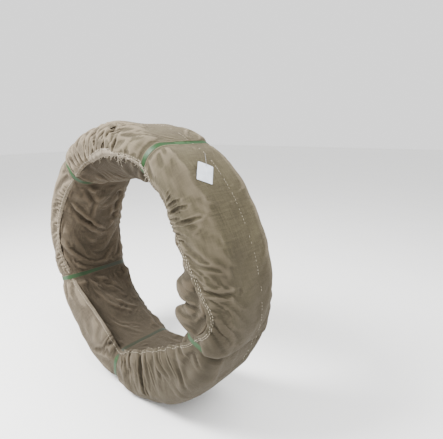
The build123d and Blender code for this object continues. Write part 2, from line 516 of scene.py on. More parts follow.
# %% Pleats
FRONT_PLEATS = [
    # from, to, pleats, depth in mm, reach in mm
    (62, 87, 4, (3, 5), (40, 90)), (87, 126, 10, (14, 22), (120, 260)), (128, 198, 26, (5, 9), (30, 70)),
    (200, 207, 3, (3, 6), (40, 80)), (207, 249, 3, (1, 3), (40, 100)), (249, 261, 4, (5, 9), (60, 140)),
    (263, 337, 10, (9, 17), (70, 180)), (337, 345, 4, (5, 8), (25, 50)), (346, 373, 8, (3, 5), (25, 60)),
    (373, 408, 21, (5, 9), (14, 34)), (408, 421, 6, (3, 5), (12, 25)),
]
BACK_PLEATS = [(62, 127, 13, (4, 9), (40, 90)), (127, 422, 46, (5, 13), (45, 150))]
COVER_CREASES = [
    # path of (angle, station), depth, half width
    ([(38.7, 0.185), (37.3, 0.244), (36.3, 0.292)], 0.008, 0.0038),
    ([(41.4, 0.190), (39.8, 0.248), (39.2, 0.278)], 0.006, 0.0036),
    ([(33.2, 0.215), (31.8, 0.270), (31.3, 0.318)], 0.008, 0.0040),
    ([(26.8, 0.180), (25.6, 0.235)], 0.004, 0.0040),
    ([(42.4, 0.215), (42.2, 0.262)], 0.004, 0.0034),
    ([(43.6, 0.235), (44.0, 0.268)], 0.003, 0.0034),
    ([(36.3, 0.185), (33.8, 0.240)], 0.004, 0.0040),
    ([(29.8, 0.190), (29.2, 0.245)], 0.003, 0.0040),
    ([(22.4, 0.185), (21.4, 0.240)], 0.005, 0.0045),
    ([(18.2, 0.190), (16.0, 0.26), (14, 0.32)], 0.004, 0.0060),
    ([(8, 0.232), (6.5, 0.272), (5.4, 0.332), (5.5, 0.396)], 0.007, 0.0085),
    ([(11.5, 0.210), (10.8, 0.262)], 0.004, 0.0050),
    ([(355.5, 0.288), (352.5, 0.310), (350, 0.335)], 0.007, 0.0085),
    ([(84.5, 0.324), (80.5, 0.345), (77, 0.37)], 0.006, 0.0070),
    ([(92.5, 0.332), (96, 0.352), (99, 0.38)], 0.006, 0.0060),
    ([(80.5, 0.236), (79.0, 0.275), (80.5, 0.312)], 0.006, 0.0060),
    ([(87.2, 0.215), (86.6, 0.25), (88.2, 0.29)], 0.012, 0.0070),
    ([(93.2, 0.205), (93.4, 0.24), (94.5, 0.285)], 0.011, 0.0065),
    ([(101.0, 0.215), (101.5, 0.26), (102.5, 0.31)], 0.012, 0.0065),
    ([(251, 0.184), (255, 0.15), (260, 0.115)], 0.008, 0.0070),
    ([(245.5, 0.224), (250, 0.20), (258, 0.180)], 0.008, 0.0080),
    ([(286.0, 0.090), (289.5, 0.140), (289.8, 0.175)], 0.018, 0.0110),
    ([(289.8, 0.155), (288.2, 0.20), (287.0, 0.27)], 0.015, 0.0065),
    ([(306.5, 0.110), (307.5, 0.165), (306, 0.20)], 0.010, 0.0070),
    ([(298.0, 0.110), (299.5, 0.165), (298, 0.215)], 0.008, 0.0060),
    ([(314.0, 0.110), (314.5, 0.165), (313, 0.20)], 0.008, 0.0055),
    ([(322, 0.110), (320.5, 0.19), (319, 0.23)], 0.009, 0.0060),
    ([(324.5, 0.195), (320.0, 0.27)], 0.009, 0.0100),
    ([(338.2, 0.232), (334.5, 0.278)], 0.007, 0.0070),
    ([(266.8, 0.150), (271, 0.138), (276, 0.130)], 0.020, 0.0085),
    ([(278.5, 0.140), (279.5, 0.175), (276, 0.20)], 0.009, 0.0070),
    ([(356, 0.250), (350.5, 0.30), (347.5, 0.33)], 0.008, 0.0075),
]
PUCKERS = [
    # short folds that a stitch or a knot draws in, pressed in once the cloth has settled
    ([(85.6, 0.316), (83.8, 0.310), (82.0, 0.304)], 0.019, 0.0065),
    ([(85.6, 0.316), (87.2, 0.326)], 0.010, 0.0055),
    ([(83.8, 0.312), (84.2, 0.330), (84.2, 0.345)], 0.007, 0.0050),
    ([(82.0, 0.304), (81.0, 0.288), (81.2, 0.270)], 0.007, 0.0055),
    ([(85.0, 0.312), (86.4, 0.292), (87.2, 0.272)], 0.009, 0.0052),
    ([(269.5, 0.150), (272, 0.140), (275, 0.134)], 0.012, 0.0070),
    ([(272, 0.140), (272.4, 0.165), (271.6, 0.185)], 0.007, 0.0050),
]


def pleats(hem_angle, reach, table, seed, at_edge=0.6):
    """Height of the gathers of one hem, at a distance of reach from it: crests that lean to one side.

    The share at_edge of their depth is left at the very edge, where the hem lies on the lining."""
    chance = np.random.default_rng(seed)
    valleys, depths, lengths, leans = [], [], [], []
    for begin, end, number, (shallow, deep), (short, long) in table:
        step = (end - begin) / number
        for i in range(number):
            valleys.append(begin + (i + 0.5 + chance.uniform(-0.34, 0.34)) * step)
            depths.append(chance.uniform(shallow, deep) / 1000)
            lengths.append(chance.uniform(short, long) / 1000)
            leans.append(chance.choice((0.62, 1.0, 1.5)))
    valleys = np.array([valleys[-1] - 360, *valleys, valleys[0] + 360])
    turn = (hem_angle - 62) % 360 + 62 + reach * 25 * ripple(hem_angle, 0, seed + 1, 3, 11)
    place = np.interp(turn, valleys, np.arange(len(valleys)))
    deep = np.interp(turn, valleys, [depths[-1], *depths, depths[0]])
    far = np.interp(turn, valleys, [lengths[-1], *lengths, lengths[0]])
    leans = np.array([leans[-1], *leans])[np.clip(np.floor(place).astype(int), 0, len(leans))]
    crest = np.sin(math.pi * (place % 1) ** leans) ** 1.3
    grown = at_edge + (1 - at_edge) * ease(reach / 0.028)
    return deep * grown * np.exp(-(reach / far) ** 1.8) * (crest - 0.40)


# depth of the cloth under a strap, and the half width that the strap holds
STRAP_DEPTH, STRAP_HOLD = 0.0092, 0.0105
LOWEST_FOLD, HIGHEST_FOLD, BACK_HEM_SINK = -0.0095, 0.011, 0.0065
flat_hem = 0.22 + 0.4 * np.exp(-(short_turn(at_front[:, None], 315) / 90) ** 4)
to_back_hem = run[:, -1:] - run
gathers = pleats(at_front[:, None] + 0 * run, run, FRONT_PLEATS, 21, flat_hem)
gathers += pleats(at_back[:, None] + 0 * run, to_back_hem, BACK_PLEATS, 33, 0.0)
folds = gathers.copy()
for path, deep, half in COVER_CREASES:
    folds += crease_from(path, cover_angle, cover_station, deep, half)
swell = 0.0035 * ripple(cover_angle, run * 2, 7, 4, 12)
swell = swell + 0.0015 * ripple(cover_angle, run * 6, 8, 14, 40, slant=14)
swell *= 1 - 0.8 * (np.exp(-(run / 0.03) ** 2) + np.exp(-(to_back_hem / 0.03) ** 2))
free = ease((off_strap(cover_angle) * radius / 0.6 - 1.3) / 2.6)
height = (0.001 + folds + swell + 0.003 * ease(off_strap(cover_angle) / 9)) * free - STRAP_DEPTH * (1 - free)
height -= BACK_HEM_SINK * np.exp(-(to_back_hem / 0.022) ** 2) * free
height = np.clip(height, LOWEST_FOLD, HIGHEST_FOLD) - slump(cover_angle, cover_station)
cover_laid = cover_base + outward_normals(cover_base) * height[..., None]
print("pleats from", round(height.min() * 1000, 1), "to", round(height.max() * 1000, 1), "mm")

# %% [markdown]
# ## Settling the cover
# The rest shape is a round tube, whose radius comes from the length of cloth and whose width comes from the
# way across it. The hems and the cloth under each strap are held, and the rest may move.

# %% Settle the cover
def tube_of(length, runs):
    """Rest shape: a round tube of the cloth's own length, with each column as wide as it is when flat."""
    turn = np.linspace(0, 2 * math.pi, len(runs), endpoint=False)[:, None] + 0 * runs
    reach = length / (2 * math.pi)
    return np.stack([reach * np.cos(turn), runs - runs[:, -1:] / 2, AXIS + reach * np.sin(turn)], -1)


def flat_map(length, runs):
    """UV in metres: the way along the cloth and the way across it, with the seam's column written twice."""
    closed = np.vstack([runs, runs[:1]])
    u = np.linspace(0, length, len(closed))[:, None] + 0 * closed
    return np.stack([u, closed], -1)


def under_strap(angle, radius):
    """Which points of a sheet a strap holds down."""
    return off_strap(angle) * np.radians(1) * radius < STRAP_HOLD


# the cloth is a little shorter across than it was laid, which draws it tight
COVER_DRAW, COVER_FRAMES = 0.995, 16
cover_runs = run * COVER_DRAW
shape = (COVER_COLUMNS, COVER_ROWS + 1)
laid = sheet_mesh("cover laid", cover_laid, flat_map(COVER_LENGTH, cover_runs))
held = under_strap(cover_angle, radius)
held[:, 0] = held[:, -1] = True
cover_points = settle(laid, shape, tube_of(COVER_LENGTH, cover_runs), held, COVER_FRAMES)
bpy.data.objects.remove(laid)
print("cover settled, y", cover_points[..., 1].min().round(4), "to", cover_points[..., 1].max().round(4))

# %% [markdown]
# ## Folds that the cloth has lost
# A simulation of a few frames blurs the sharpest folds, so a share of each is put back along the settled
# cloth's own normals, with the puffs and the puckers at a stitch, which no grid this coarse would find. In
# the bay at the right the cloth is pulled smooth, so its waves are evened out, mostly where it turns from
# the front end onto the rim.

# %% Sharpen the cover's folds
COVER_PUFFS = [
    # angle, station, height, half width in degrees, half length
    (86, 0.370, 0.009, 9, 0.060), (352, 0.34, 0.008, 6, 0.06),
    (348, 0.42, 0.006, 5, 0.06), (20, 0.40, 0.004, 10, 0.08),
]
GATHER_SHARE, CREASE_SHARE, DEEPEST_POINT = 0.30, 0.32, -0.0102
raised = (GATHER_SHARE * gathers + CREASE_SHARE * (folds - gathers)) * free
for angle, station, high, wide, long in COVER_PUFFS:
    around = short_turn(cover_angle, angle)
    raised += free * high * np.exp(-(around / wide) ** 2 - ((cover_station - station) / long) ** 2)
for path, deep, half in PUCKERS:
    raised += free * crease_from(path, cover_angle, cover_station, deep, half, 0.5)
bulge = softened(above_section(cover_points) + slump(cover_angle, cover_station), 41, ends="wrap")
right_bay = np.exp(-(short_turn(cover_angle, 20) / 37) ** 6)
over_rim = ease((cover_station - 0.27) / 0.08) * ease((0.64 - cover_station) / 0.08)
over_rim *= ease(off_strap(cover_angle) / 8)
calmed = 0.75 * np.clip(-bulge, 0, 0.009) * over_rim
calmed -= 0.85 * np.clip(bulge - 0.002, 0, 0.02) * right_bay * ease((0.36 - cover_station) / 0.05)
corner = right_bay * ease((cover_station - 0.21) / 0.05) * ease((0.50 - cover_station) / 0.06)
raised += calmed + (softened(bulge + calmed, 13, axis=1) - bulge - calmed) * corner
deepest = DEEPEST_POINT - slump(cover_angle, cover_station)
raised = np.maximum(raised, np.minimum(deepest - above_section(cover_points), 0) * (run > 0.03))
cover_points += outward_normals(cover_points) * raised[..., None]
print("put back up to", round(raised.max() * 1000, 1), "mm of fold")

# %% [markdown]
# ## Finishing the cover's shape
# Beside the lower right strap the slack cloth sags over the band in one fold, which is turned and lifted
# as given. The cloth can't go through the floor, so what would is pressed flat there, as the coil's own weight
# does it.

# %% Finish the cover
FLOOR_GAP, LARGEST_SWELL = 0.0006, 0.014


def overhang(points, start, length, back, high):
    """Lets the cloth beside a strap sag over it in a fold, from the front end round to the rim."""
    t = np.clip((cover_angle - start) / length, 0, 1)
    there = ease((cover_station - 0.245) / 0.03) * ease((0.62 - cover_station) / 0.05)
    there *= (cover_angle > start) * (t < 1)
    shift = np.radians(-back) * ease(t / 0.16) * ease((1 - t) / 0.84) * there
    lift = high * ease(t / 0.09) * (1 - t) ** 2 * there
    x, z = points[..., 0], points[..., 2] - AXIS
    _, _, away = section_at(cover_station)
    out = 1 + lift * away[..., 0] / np.hypot(x, z)
    return np.stack([(x * np.cos(shift) - z * np.sin(shift)) * out, points[..., 1] + lift * away[..., 1],
                     (x * np.sin(shift) + z * np.cos(shift)) * out + AXIS], -1)


cover_points = finer(overhang(cover_points, start=343.1, length=8.0, back=3.2, high=0.008))
cover_points[..., 1] = np.clip(cover_points[..., 1], -WIDTH / 2 - LARGEST_SWELL, WIDTH / 2 + LARGEST_SWELL)
cover_points[..., 2] = np.maximum(cover_points[..., 2], FLOOR_GAP)
cover_flat = finer(flat_map(COVER_LENGTH, cover_runs))
cover = sheet_mesh("cover", cover_points, cover_flat)
mark_hollows(cover, cover_points)
print("cover", len(cover.data.polygons), "faces")

# %% [markdown]
# ## The bore's lining
# The lining is a second tube of hessian, wide enough to reach up both ends under the cover's hems. It is
# slack, so between the straps it swells into the bore in soft pads with creases between them. At the right
# it even puffs out in front of the wire where the hem stands back.

# %% Lay the lining
LINING_COLUMNS, LINING_ROWS = 560, 54
LINING_LENGTH, LINING_SLACK, LINING_FRAMES = 3.05, 1.05, 14
# how far the lining goes under each hem, and its height there over the cloth under a strap
LINING_TUCK, TUCK_HEIGHT = 0.045, 0.0066
LINING_CREASES = [
    # path of (angle, station), depth, half width
    ([(150, 0.150), (159, 0.080), (169, -0.02)], 0.014, 0.013),
    ([(132.5, 0.140), (131, 0.115), (142, 0.060), (160, 0.060)], 0.012, 0.012),
    ([(138, -0.05), (139, -0.086), (159, -0.078), (170, -0.13)], 0.013, 0.014),
    ([(179, 0.190), (190, 0.124), (197, 0.024)], 0.014, 0.013),
    ([(195.5, 0.010), (200, -0.06), (203.5, -0.110)], 0.010, 0.012),
    ([(201.5, 0.120), (211.5, -0.020), (225.5, -0.114)], 0.014, 0.014),
    ([(224, 0.020), (231, -0.026), (238, -0.094)], 0.009, 0.014),
    ([(238, 0.070), (246, 0.010), (249.5, -0.062)], 0.008, 0.014),
]
LINING_PUFFS = [
    # angle, station, height, half width in degrees, half length
    (4.9, 0.140, 0.070, 6.4, 0.062), (348.4, 0.136, 0.060, 6.8, 0.062), (19, 0.140, 0.014, 5, 0.045),
    (104, 0.06, 0.012, 12, 0.08), (166, 0.03, 0.016, 10, 0.07), (228, 0.01, 0.014, 9, 0.07),
    (143, 0.05, 0.012, 6, 0.06),
]
PUFF_CREASES = [
    # path of (angle, station), depth, half width
    ([(358.8, 0.24), (358.4, 0.17), (358.6, 0.06)], 0.026, 0.009),
    ([(356.5, 0.23), (353.2, 0.185), (352.4, 0.15)], 0.010, 0.0075),
    ([(348.6, 0.23), (349.3, 0.195), (348.2, 0.172)], 0.010, 0.007),
    ([(346.0, 0.22), (347.5, 0.19)], 0.008, 0.005),
    ([(3.5, 0.22), (7.5, 0.175), (10, 0.14)], 0.007, 0.008),
    ([(353.5, 0.21), (354.3, 0.18)], 0.007, 0.006),
]
line_angle = np.linspace(0, 360, LINING_COLUMNS, endpoint=False)[:, None]
front_edge = nearest_station(*front_hem(line_angle[:, 0]))[:, None]
back_r = BACK_HEM_RADIUS + 0.0067 * ripple(line_angle[:, 0], 0, 12, 3, 9)
back_edge = nearest_station(back_r, np.full(LINING_COLUMNS, BACK_HEM_DEPTH - WIDTH / 2))[:, None]
down = np.linspace(0, 1, LINING_ROWS + 1)[None]
line_station = (front_edge + LINING_TUCK) * (1 - down) - (back_edge + LINING_TUCK) * down
line_angle = line_angle + 0 * line_station
line_r, line_y, line_out = section_at(line_station)
line_free = ease((off_strap(line_angle) - 1.7) / 4.5)
to_front, to_back = front_edge - line_station, back_edge + line_station
inside = ease((to_front + 0.008) / 0.011) * ease((to_back + 0.008) / 0.011)
tucked = ease((to_front + 0.034) / 0.012) * ease((to_back + 0.034) / 0.012)
puff = 0.007 + 0.008 * line_free * (1 + 0.6 * ripple(line_angle, line_station * 3, 51, 5, 13))
puff += 0.0035 * ripple(line_angle, line_station * 5, 52, 18, 40, slant=16)
for path, deep, half in LINING_CREASES:
    puff += crease(line_angle, line_station, path, deep, half)
line_height = line_free * (inside * (puff - TUCK_HEIGHT) + tucked * TUCK_HEIGHT) - STRAP_DEPTH
line_height = line_height - slump(line_angle, line_station)
base = on_ring(line_angle, line_r + line_out[..., 0] * line_height, line_y + line_out[..., 1] * line_height)
line_runs = way_across(base) * LINING_SLACK
print("lining", LINING_LENGTH, "m long and", round(line_runs[:, -1].mean(), 3), "m wide when flat")

# %% [markdown]
# ## Settling the lining
# The lining settles on the same form as the cover. Its two largest pads at the lower right hang clear of
# the wire, where a collision would hold nothing up, so they are pushed out as listed, with their creases,
# after the cloth has run. The form is then taken away.

# %% Settle the lining
shape = (LINING_COLUMNS, LINING_ROWS + 1)
laid = sheet_mesh("lining laid", base, flat_map(LINING_LENGTH, line_runs))
held = under_strap(line_angle, line_r)
held[:, :2] = held[:, -2:] = True
tube = tube_of(LINING_LENGTH, line_runs)
lining_points = settle(laid, shape, tube, held, LINING_FRAMES, weight=0.3, bend=0.2)
bpy.data.objects.remove(laid)
bpy.data.objects.remove(form)
spare = 0 * line_station
for angle, station, high, wide, long in LINING_PUFFS:
    around = short_turn(line_angle, angle)
    spare += high * np.exp(-np.abs(around / wide) ** 2.9 - ((line_station - station) / long) ** 2)
for path, deep, half in PUFF_CREASES:
    spare += crease_from(path, line_angle, line_station, deep, half)
spare = spare * ease((off_strap(line_angle) - 1.25) / 2.2) * inside
spoke = on_ring(line_angle, 1 + 0 * line_r, 0 * line_r)
outward = on_ring(line_angle, 1 + line_out[..., 0], 0.35 * line_out[..., 1]) - spoke
lining_points = finer(lining_points + outward * spare[..., None])
lining = sheet_mesh("lining", lining_points, finer(flat_map(LINING_LENGTH, line_runs)))
mark_hollows(lining, lining_points)
print("lining", len(lining.data.polygons), "faces")

# %% [markdown]
# ## The hem bands
# A raw edge would fray all round, so the hem is turned under and stitched down: a band of double cloth
# about 18 mm wide with a round edge. It follows the settled cover, so it is laid out from the cover's own
# points: inside, round the edge, and back along the outside.

# %% Hem bands
HEM_ROWS = 16
HEM_PROFILE = [
    # way from the edge, height over the cloth
    (0.007, -0.0010), (0.001, -0.0012), (-0.0012, 0.0), (0.0006, 0.0017), (0.006, 0.0022),
    (0.012, 0.0018), (0.0165, 0.0016), (0.018, 0.0002),
]
front_rows, back_rows = cover_points[:, :HEM_ROWS], cover_points[:, ::-1][:, :HEM_ROWS]


def hem_band(name, points, flat):
    """Band of double cloth on the first rows of a sheet whose hem is its first row."""
    ways, normals = way_across(points), outward_normals(points)
    past_edge = points[:, 0] - points[:, 1]
    past_edge /= np.linalg.norm(past_edge, axis=-1)[:, None]
    band = [at_reach(points, ways, reach) + at_reach(normals, ways, reach) * lift + past_edge * max(-reach, 0)
            for reach, lift in HEM_PROFILE]
    widths = np.cumsum([0] + [math.dist(a, b) for a, b in zip(HEM_PROFILE, HEM_PROFILE[1:])])
    uv = np.stack(np.broadcast_arrays(flat[:, :1, 0], widths), -1)
    return sheet_mesh(name, np.stack(band, 1), uv)


front_band = hem_band("front_hem", front_rows, cover_flat)
back_band = hem_band("back_hem", back_rows, cover_flat)
print("hem bands", len(front_band.data.polygons), "and", len(back_band.data.polygons), "faces")

# %% [markdown]
# ## Stitches
# Each stitch is a short, fat piece of cotton thread that dips into the cloth at both ends. One is modelled
# from a low cylinder and then repeated along the hems and along the seam that joins two widths of hessian
# on the rim. Stitches of one line are one piece, because nobody ever takes them apart.

# %% One stitch
deselect_all()
bpy.ops.mesh.primitive_cylinder_add(vertices=6, radius=0.5, depth=1.0, rotation=(0, math.pi / 2, 0))
stitch = bpy.context.object
bpy.ops.object.transform_apply(location=False, rotation=True)
bpy.ops.object.mode_set(mode="EDIT")
bpy.ops.mesh.select_all(action="DESELECT")
bpy.ops.object.mode_set(mode="OBJECT")
for edge in stitch.data.edges:
    a, b = (stitch.data.vertices[v].co for v in edge.vertices)
    edge.select = abs(a.x - b.x) > 0.5
bpy.ops.object.mode_set(mode="EDIT")
bpy.ops.mesh.select_mode(type="EDGE")
bpy.ops.mesh.subdivide(number_cuts=3)
bpy.ops.object.mode_set(mode="OBJECT")
stitch_shape = np.array([v.co for v in stitch.data.vertices])
stitch_faces = [list(f.vertices) for f in stitch.data.polygons]
from_middle = np.abs(stitch_shape[:, 0])
stitch_shape[:, 1:] *= np.sqrt(np.clip(1 - 0.85 * (2 * from_middle) ** 2, 0.1, 1))[:, None]
stitch_shape[:, 2] += 0.35 - 2.2 * from_middle ** 2
bpy.data.objects.remove(stitch)
print("one stitch", len(stitch_faces), "faces")

# %% [markdown]
# ## A line of stitches
# A hand never sews quite evenly, so each copy is moved a little along the line, turned a little out of it
# and made a little longer or shorter. Now and then one may be missing.

# %% A line of stitches
def stitch_line(name, line, normals, step, length, thick, seed, gaps=0.0):
    """Stitches along a line of points, each as one copy of the stitch, joined in one mesh."""
    chance = np.random.default_rng(seed)
    ways = np.r_[0, np.cumsum(np.linalg.norm(np.diff(line, axis=0), axis=-1))]
    points, faces = [], []
    for place in np.arange(step, ways[-1] - step, step):
        if chance.random() < gaps:
            continue
        place += chance.uniform(-0.1, 0.1) * step
        centre, tip, up = (np.array([np.interp(way, ways, values[:, k]) for k in range(3)])
                           for way, values in ((place, line), (place + length / 2, line), (place, normals)))
        forward = tip - centre
        forward /= np.linalg.norm(forward) + 1e-12
        up = up - forward * (up @ forward)
        up /= np.linalg.norm(up) + 1e-12
        side = np.cross(up, forward)
        forward = forward + side * chance.uniform(-0.18, 0.18)
        x, y, z = (stitch_shape * [length * chance.uniform(0.85, 1.1), thick, thick]).T[..., None]
        start = len(points) * len(stitch_shape)
        points.append(centre + x * forward + y * side + z * up)
        faces += [[start + i for i in face] for face in stitch_faces]
    made = new_mesh(name, np.concatenate(points), faces)
    made.data.shade_smooth()
    return made


print("stitches ready")

# %% [markdown]
# ## Sewing the hems
# One line of stitches holds each hem down. At the right of the front hem, where the cloth stands back from
# the bore, a second line runs beside the first, as a sewer goes over a seam that takes a pull.

# %% Sew the hems
STITCH_REACH, SECOND_REACH = 0.0135, 0.0205
SECOND_FROM, SECOND_TO = 332, 22


def line_on(points, reach):
    """Line of points a little way in from a sheet's first row, closed, with the normals there."""
    ways = way_across(points)
    line, up = (at_reach(grid, ways, reach) for grid in (points, outward_normals(points)))
    return np.vstack([line, line[:1]]), np.vstack([up, up[:1]])


thread_lines = []
for name, rows, seed in (("front_stitches", front_rows, 61), ("back_stitches", back_rows, 62)):
    line, up = line_on(rows, STITCH_REACH)
    line = line + up * 0.0017
    thread_lines.append(stitch_line(name, line, up, step=0.0115, length=0.0082, thick=0.0014, seed=seed))
line, up = line_on(front_rows, SECOND_REACH)
hem_turn = angle_of(line)
chosen = np.flatnonzero((hem_turn > SECOND_FROM) | (hem_turn < SECOND_TO))
start = chosen[np.argmin((hem_turn[chosen] - SECOND_FROM) % 360)]
order = np.array([(start + i) % (len(line) - 1) for i in range(len(chosen))])
line, up = line[order] + up[order] * 0.0006, up[order]
thread_lines.append(stitch_line("second_front_stitches", line, up, step=0.012, length=0.008, thick=0.0015, seed=63))
print("stitch lines", [len(made.data.polygons) for made in thread_lines])

# %% [markdown]
# ## The seam round the rim
# Two widths of hessian are joined near the back of the rim. Outside it shows as a faint ridge with a pale
# running thread, which wanders as handwork does.

# %% Rim seam
OUTSIDE, ON_FLOOR = 0.75, 0.004
SEAM = [
    # angle, way behind the front in mm
    (41, 204), (20, 204), (6, 212), (345, 238), (300, 225), (262, 214), (220, 226), (180, 210), (140, 222),
    (100, 214), (62, 208),
]
cover_faces = [face.vertices for face in cover.data.polygons]
cover_tree = BVHTree.FromPolygons(cover_points.reshape(-1, 3).tolist(), cover_faces)


def on_cover(angle, from_front, lift=0.0):
    """Point on the settled cover's rim under an angle and a place along the axis, with its normal."""
    start = Vector(on_ring(np.array(float(angle)), OUTSIDE, from_front / 1000 - WIDTH / 2).tolist())
    inward = Vector((0, start.y, AXIS)) - start
    hit, normal, _, _ = cover_tree.ray_cast(start, inward.normalized())
    if normal.dot(inward) > 0:
        normal = -normal
    return hit + normal * lift, normal


hits = []
for angle in np.arange(0, 360.1, 0.4):
    wander = 2.5 * math.sin(math.radians(angle * 9))
    hits.append(on_cover(angle, follow(SEAM, np.array([angle]), 1)[0] + wander, 0.0006))
seam_line, seam_up = (np.array(part) for part in zip(*hits))
above = seam_line[:, 2] > ON_FLOOR
seam_line, seam_up = seam_line[above], seam_up[above]
thread_lines.append(stitch_line("rim_seam_stitches", seam_line, seam_up, step=0.0125, length=0.0075,
                                thick=0.0010, seed=64, gaps=0.5))
print("rim seam", len(thread_lines[-1].data.polygons), "faces")

# %% [markdown]
# ## The frayed edge
# At the upper left a strip of raw cloth is turned back over the hem and lies on the pleats. It is laid out
# as a grid on the settled cover: a soft running mean bridges the valleys, the crests hold the strip up, and
# small waves and an uneven edge make it raw.

# %% Frayed strip
FARTHEST_FRONT = -WIDTH / 2 - 0.016


def frayed_ruffle(name, begin, end, seed=73, steps=8):
    """Strip of raw cloth, turned back over the hem between two angles, that lies on the pleats' crests."""
    chance = np.random.default_rng(seed)
    turn = angle_of(front_rows[:, 0])
    pick = np.flatnonzero((turn > begin) & (turn < end))
    pick = pick[np.argsort(turn[pick])]
    places, share, far = np.arange(len(pick)), np.linspace(0, 1, len(pick)), np.linspace(0, 1, steps)
    ends = np.minimum(ease(share / 0.10), ease((1 - share) / 0.10))
    wide = (0.008 + 0.022 * ease((turn[pick] - 78.5) / 4)) * (0.35 + 0.65 * ends)
    knots = np.arange(0, len(pick) + 4, 4.0)
    wide = wide * (1 + np.interp(places, knots, chance.uniform(-0.16, 0.16, len(knots))))
    ways = way_across(front_rows)[pick]
    cloth, normals = (np.stack([at_reach(grid[pick], ways, wide * t) for t in far], 1)
                      for grid in (front_rows, outward_normals(front_rows)))
    base, up = softened(cloth, 21), softened(normals, 21)
    up /= np.linalg.norm(up, axis=-1)[..., None]
    stand = ((cloth - base) * up).sum(-1)
    crest = softened(np.stack([stand[max(0, n - 6): n + 7].max(0) for n in places]), 21)
    points = base + up * (crest + 0.0016)[..., None]
    fine = np.linspace(0, len(pick) - 1, 3 * len(pick))
    points, up = (np.apply_along_axis(lambda values: np.interp(fine, places, values), 0, grid)
                  for grid in (points, up))
    wave = np.sin(fine * 0.8 + 2.0 * np.sin(fine * 0.21))[:, None] * 0.0016 * far
    wave = wave + np.sin(fine[:, None] * 2.1 + 3 * far) * 0.0006 * far
    points = points + up * (wave + 0.003 * np.sin(math.pi * far * 0.85))[..., None]
    outward = points[:, -1] - points[:, -2]
    points[:, -1] += outward * chance.uniform(-0.5, 0.7, len(fine))[:, None]
    points[..., 1] = np.maximum(points[..., 1], FARTHEST_FRONT)
    index = np.arange(points[..., 0].size).reshape(points.shape[:2])
    made = new_mesh(name, points, grid_faces(index[:-1], index[1:]))
    uv = made.data.uv_layers.new(name="flat cloth")
    for loop in made.data.loops:
        i, k = divmod(loop.vertex_index, steps)
        uv.data[loop.index].uv = (i * 0.0010, k * 0.003)
    made.data.shade_smooth()
    return made, (points[:, -1], up[:, -1], points[:, -3])


ruffle, ruffle_edge = frayed_ruffle("frayed_ruffle", 57, 102)
print("ruffle", len(ruffle.data.polygons), "faces")

# %% [markdown]
# ## Loose threads
# Raw jute sheds threads, short ones along the strip's edge and a few longer ones that hang from the hem.
# Each thread is a curve with a thin round bevel that turns a little at each step and sags, and all of them
# become one mesh.

# %% Helpers for threads
def new_curves(name):
    """Curve object with no spline yet, from a path whose own spline is taken out."""
    deselect_all()
    bpy.ops.curve.primitive_nurbs_path_add()
    curves = bpy.context.object
    curves.name = name
    curves.data.splines.clear()
    return curves


def add_strand(curves, places, radii, resolution):
    """Adds one spline through its places to a curve object."""
    spline = curves.data.splines.new("NURBS")
    spline.points.add(len(places) - 1)
    for point, place, radius in zip(spline.points, places, radii):
        point.co, point.radius = (*place, 1), radius
    spline.order_u, spline.use_endpoint_u, spline.resolution_u = 3, True, resolution


def strands_to_mesh(curves, half_thickness, roundness):
    """Gives the strands their thickness and makes them one mesh."""
    curves.data.bevel_depth, curves.data.bevel_resolution = half_thickness, roundness
    curves.data.dimensions = "3D"
    bpy.ops.object.convert(target="MESH")
    bpy.ops.object.shade_smooth()
    return bpy.context.object


print("thread helpers ready")

# %% [markdown]
# ## Where the threads start
# Each thread starts at a random place of an edge, heads out from it or back over the cover, and then goes
# its own way. Threads at the front end lie against it, so they may not stand further out than the hem.

# %% Loose threads
SAG, TURN_SPREAD = np.array([0, 0, -0.16]), 0.38


def wandering(chance, here, heading, length, steps):
    """Places along one thread, which turns a little at each step and sags."""
    places = []
    for _ in range(steps):
        places.append(here)
        heading = heading + chance.normal(0, TURN_SPREAD, 3) + SAG
        heading /= np.linalg.norm(heading)
        here = here + heading * length / (steps - 1)
        here[1] = max(here[1], FARTHEST_FRONT - 0.001)
    return places


def fringe(name, sources, seed=71, steps=7):
    """Loose threads along edges.

    A source is a line of points, their normals, a line further in, and the kinds of thread there."""
    chance = np.random.default_rng(seed)
    threads = new_curves(name)
    radii = [1.0 - 0.55 * k / steps for k in range(steps)]
    for line, up, inner, kinds in sources:
        turn = angle_of(line)
        for number, (low, high), (short, long), outwards in kinds:
            for _ in range(number):
                i = int(np.argmin(np.abs(short_turn(turn, chance.uniform(low, high)))))
                edge, aside = line[i] - inner[i], line[(i + 1) % len(line)] - line[i]
                edge, aside = edge / (np.linalg.norm(edge) + 1e-9), aside / (np.linalg.norm(aside) + 1e-9)
                sign = -1 if chance.random() < outwards else 1
                heading = edge * sign + aside * chance.normal(0, 1.0) + up[i] * chance.uniform(0.05, 0.4)
                heading /= np.linalg.norm(heading)
                length = chance.uniform(short, long)
                places = wandering(chance, line[i] + up[i] * 0.0012, heading, length, steps)
                add_strand(threads, places, radii, resolution=3)
    return strands_to_mesh(threads, half_thickness=0.0008, roundness=0)


hem_line, hem_up = line_on(front_rows, 0.0)
hem_inner, _ = line_on(front_rows, 0.012)
loose_threads = fringe("frayed_threads", [
    # each kind: threads, from and to, lengths, share that turns back over the cover
    (hem_line, hem_up, hem_inner, [
        (50, (56, 84), (0.010, 0.026), 0.7), (20, (80, 103), (0.004, 0.010), 0.3),
        (9, (66, 98), (0.015, 0.045), 0.0), (10, (128, 195), (0.004, 0.009), 0.5),
        (60, (9, 56), (0.004, 0.011), 0.6), (24, (262, 338), (0.004, 0.008), 0.8)]),
    (*ruffle_edge, [(190, (57, 102), (0.003, 0.009), 0.0), (40, (57, 86), (0.010, 0.022), 0.1)]),
])
print("frayed threads", len(loose_threads.data.polygons), "faces")

